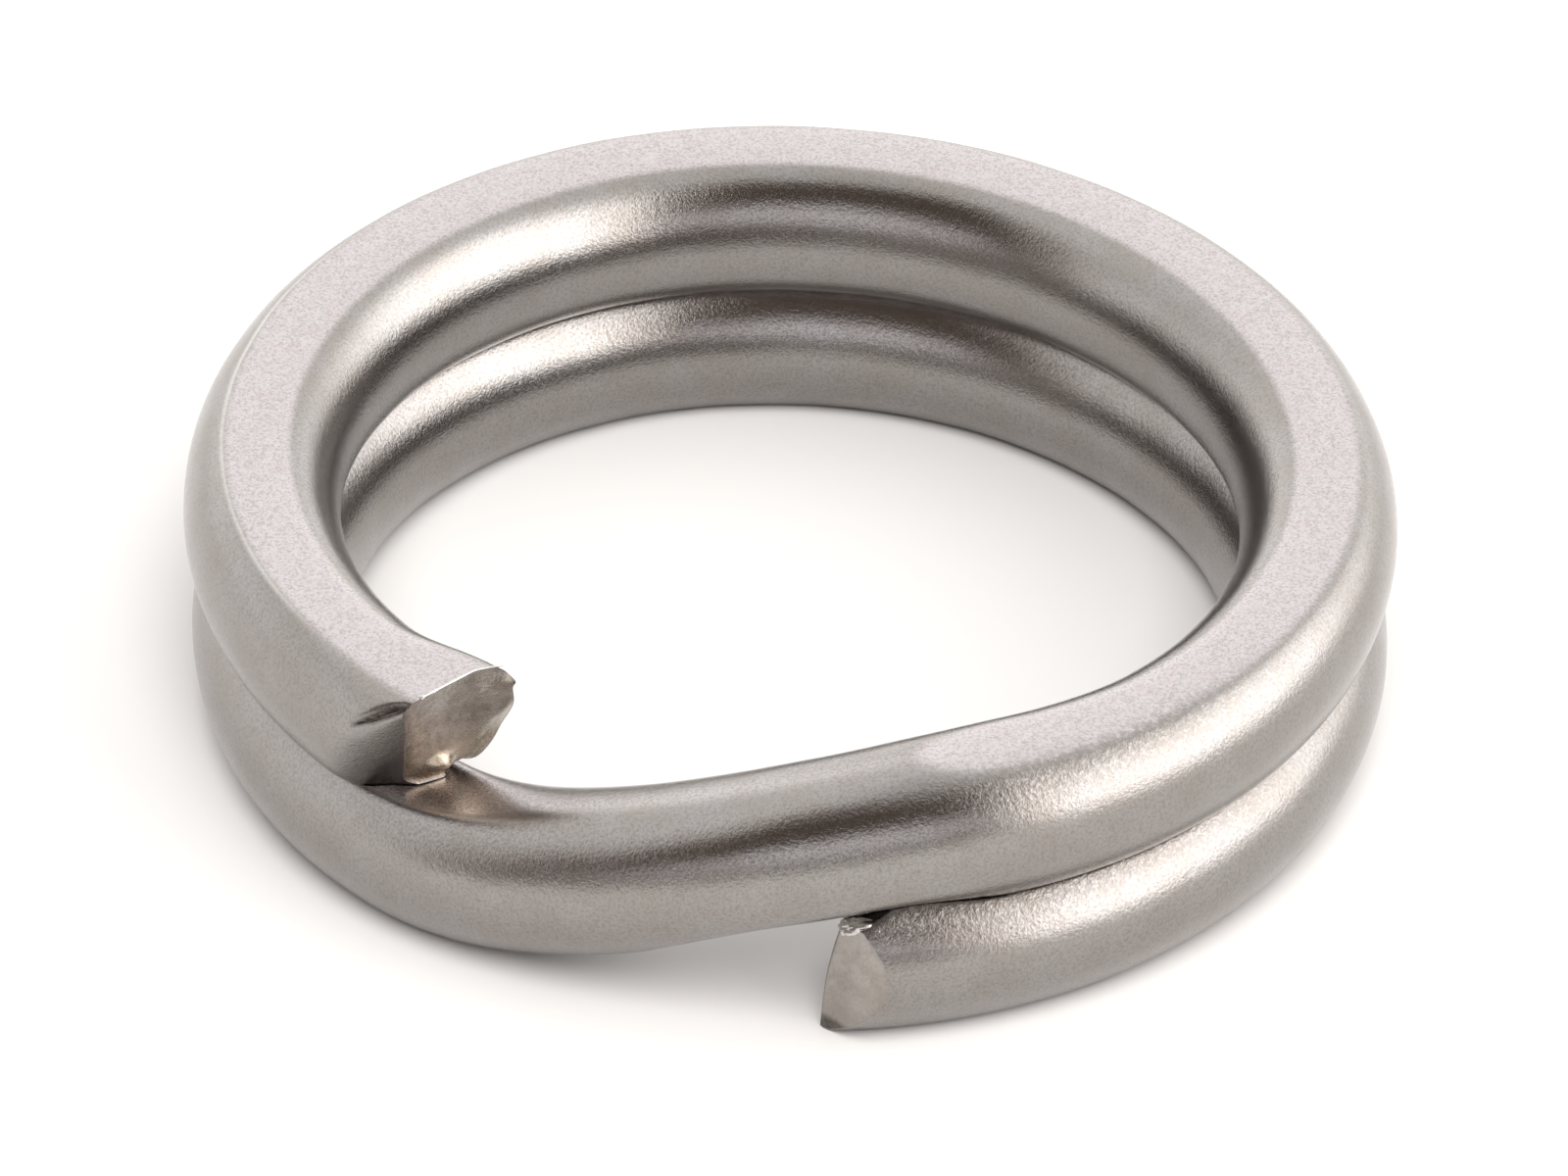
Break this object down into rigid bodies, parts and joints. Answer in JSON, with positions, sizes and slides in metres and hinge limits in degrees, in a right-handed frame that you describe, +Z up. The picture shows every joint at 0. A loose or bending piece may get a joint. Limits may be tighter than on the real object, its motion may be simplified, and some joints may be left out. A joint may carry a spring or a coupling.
{
  "type": "split key ring",
  "caption": "Small heavy split key ring of coiled flat-pressed spring wire, with a climbing crossover and pinched ends that spring apart.",
  "frame": {"origin": "centre of the ring's underside, on the plane that it lies on", "axes": "+Z up along the ring's axis, with the ring lying flat; -Y towards the crossover and the two cut ends"},
  "size_m": [0.012, 0.0119, 0.0029],
  "materials": {
    "satin_steel_wire": "fine satin stainless spring steel, die-pressed flat faces a little smoother"
  },
  "bodies": {
    "crossover": {"crossover": "satin_steel_wire"},
    "upper_turn_front_right": {"upper_turn_front_right": "satin_steel_wire"},
    "upper_turn_right": {"upper_turn_right": "satin_steel_wire"},
    "upper_turn_back_right": {"upper_turn_back_right": "satin_steel_wire"},
    "upper_turn_back": {"upper_turn_back": "satin_steel_wire"},
    "upper_turn_back_left": {"upper_turn_back_left": "satin_steel_wire"},
    "upper_turn_left": {"upper_turn_left": "satin_steel_wire"},
    "upper_cut_end": {"upper_cut_end": "satin_steel_wire"},
    "lower_turn_left": {"lower_turn_left": "satin_steel_wire"},
    "lower_turn_back_left": {"lower_turn_back_left": "satin_steel_wire"},
    "lower_turn_back": {"lower_turn_back": "satin_steel_wire"},
    "lower_turn_back_right": {"lower_turn_back_right": "satin_steel_wire"},
    "lower_turn_right": {"lower_turn_right": "satin_steel_wire"},
    "lower_turn_front_right": {"lower_turn_front_right": "satin_steel_wire"},
    "lower_cut_end": {"lower_cut_end": "satin_steel_wire"}
  },
  "joints": [
    {"name": "upper_turn_front_right_flex", "type": "hinge", "parent": "crossover", "child": "upper_turn_front_right", "pos_m": [0.0022, -0.00472, 0.00216], "axis": [0.9975, 0.071, 0], "range_deg": [0, 0.349], "stiffness_Nm_per_rad": 14.2},
    {"name": "upper_turn_right_flex", "type": "hinge", "parent": "upper_turn_front_right", "child": "upper_turn_right", "pos_m": [0.0048, -0.00207, 0.00216], "axis": [-0.1094, 0.994, 0], "range_deg": [0, 1.51], "stiffness_Nm_per_rad": 14.2},
    {"name": "upper_turn_back_right_flex", "type": "hinge", "parent": "upper_turn_right", "child": "upper_turn_back_right", "pos_m": [0.00496, 0.00165, 0.00216], "axis": [-0.5623, 0.8269, 0], "range_deg": [0, 2.01], "stiffness_Nm_per_rad": 14.2},
    {"name": "upper_turn_back_flex", "type": "hinge", "parent": "upper_turn_back_right", "child": "upper_turn_back", "pos_m": [0.0026, 0.00453, 0.00216], "axis": [-0.8199, 0.5725, 0], "range_deg": [0, 2.08], "stiffness_Nm_per_rad": 14.2},
    {"name": "upper_turn_back_left_flex", "type": "hinge", "parent": "upper_turn_back", "child": "upper_turn_back_left", "pos_m": [-0.00107, 0.00511, 0.00216], "axis": [-0.97, 0.2431, 0], "range_deg": [0, 1.88], "stiffness_Nm_per_rad": 14.2},
    {"name": "upper_turn_left_flex", "type": "hinge", "parent": "upper_turn_back_left", "child": "upper_turn_left", "pos_m": [-0.0042, 0.0031, 0.00216], "axis": [-0.993, -0.1182, 0], "range_deg": [0, 1.43], "stiffness_Nm_per_rad": 14.2},
    {"name": "upper_cut_end_flex", "type": "hinge", "parent": "upper_turn_left", "child": "upper_cut_end", "pos_m": [-0.0052, -0.00048, 0.00216], "axis": [-0.8859, -0.464, 0], "range_deg": [0, 0.796], "stiffness_Nm_per_rad": 14.2},
    {"name": "lower_turn_left_flex", "type": "hinge", "parent": "crossover", "child": "lower_turn_left", "pos_m": [-0.00353, -0.00368, 0.00074], "axis": [-0.9104, 0.4138, 0], "range_deg": [0, 0.337], "stiffness_Nm_per_rad": 13.5},
    {"name": "lower_turn_back_left_flex", "type": "hinge", "parent": "lower_turn_left", "child": "lower_turn_back_left", "pos_m": [-0.00516, -0.00021, 0.00074], "axis": [0.4905, 0.8714, 0], "range_deg": [0, 1.41], "stiffness_Nm_per_rad": 13.5},
    {"name": "lower_turn_back_flex", "type": "hinge", "parent": "lower_turn_back_left", "child": "lower_turn_back", "pos_m": [-0.00386, 0.00343, 0.00074], "axis": [0.8844, 0.4667, 0], "range_deg": [0, 1.99], "stiffness_Nm_per_rad": 13.5},
    {"name": "lower_turn_back_right_flex", "type": "hinge", "parent": "lower_turn_back", "child": "lower_turn_back_right", "pos_m": [-0.00041, 0.00517, 0.00074], "axis": [0.9947, 0.1033, 0], "range_deg": [0, 2.15], "stiffness_Nm_per_rad": 13.5},
    {"name": "lower_turn_right_flex", "type": "hinge", "parent": "lower_turn_back_right", "child": "lower_turn_right", "pos_m": [0.00329, 0.00404, 0.00074], "axis": [0.9616, -0.2744, 0], "range_deg": [0, 1.98], "stiffness_Nm_per_rad": 13.5},
    {"name": "lower_turn_front_right_flex", "type": "hinge", "parent": "lower_turn_right", "child": "lower_turn_front_right", "pos_m": [0.00518, 0.00067, 0.00074], "axis": [0.7903, -0.6127, 0], "range_deg": [0, 1.52], "stiffness_Nm_per_rad": 13.5},
    {"name": "lower_cut_end_flex", "type": "hinge", "parent": "lower_turn_front_right", "child": "lower_cut_end", "pos_m": [0.00421, -0.00307, 0.00074], "axis": [0.5054, -0.8629, 0], "range_deg": [0, 0.852], "stiffness_Nm_per_rad": 13.5}
  ]
}
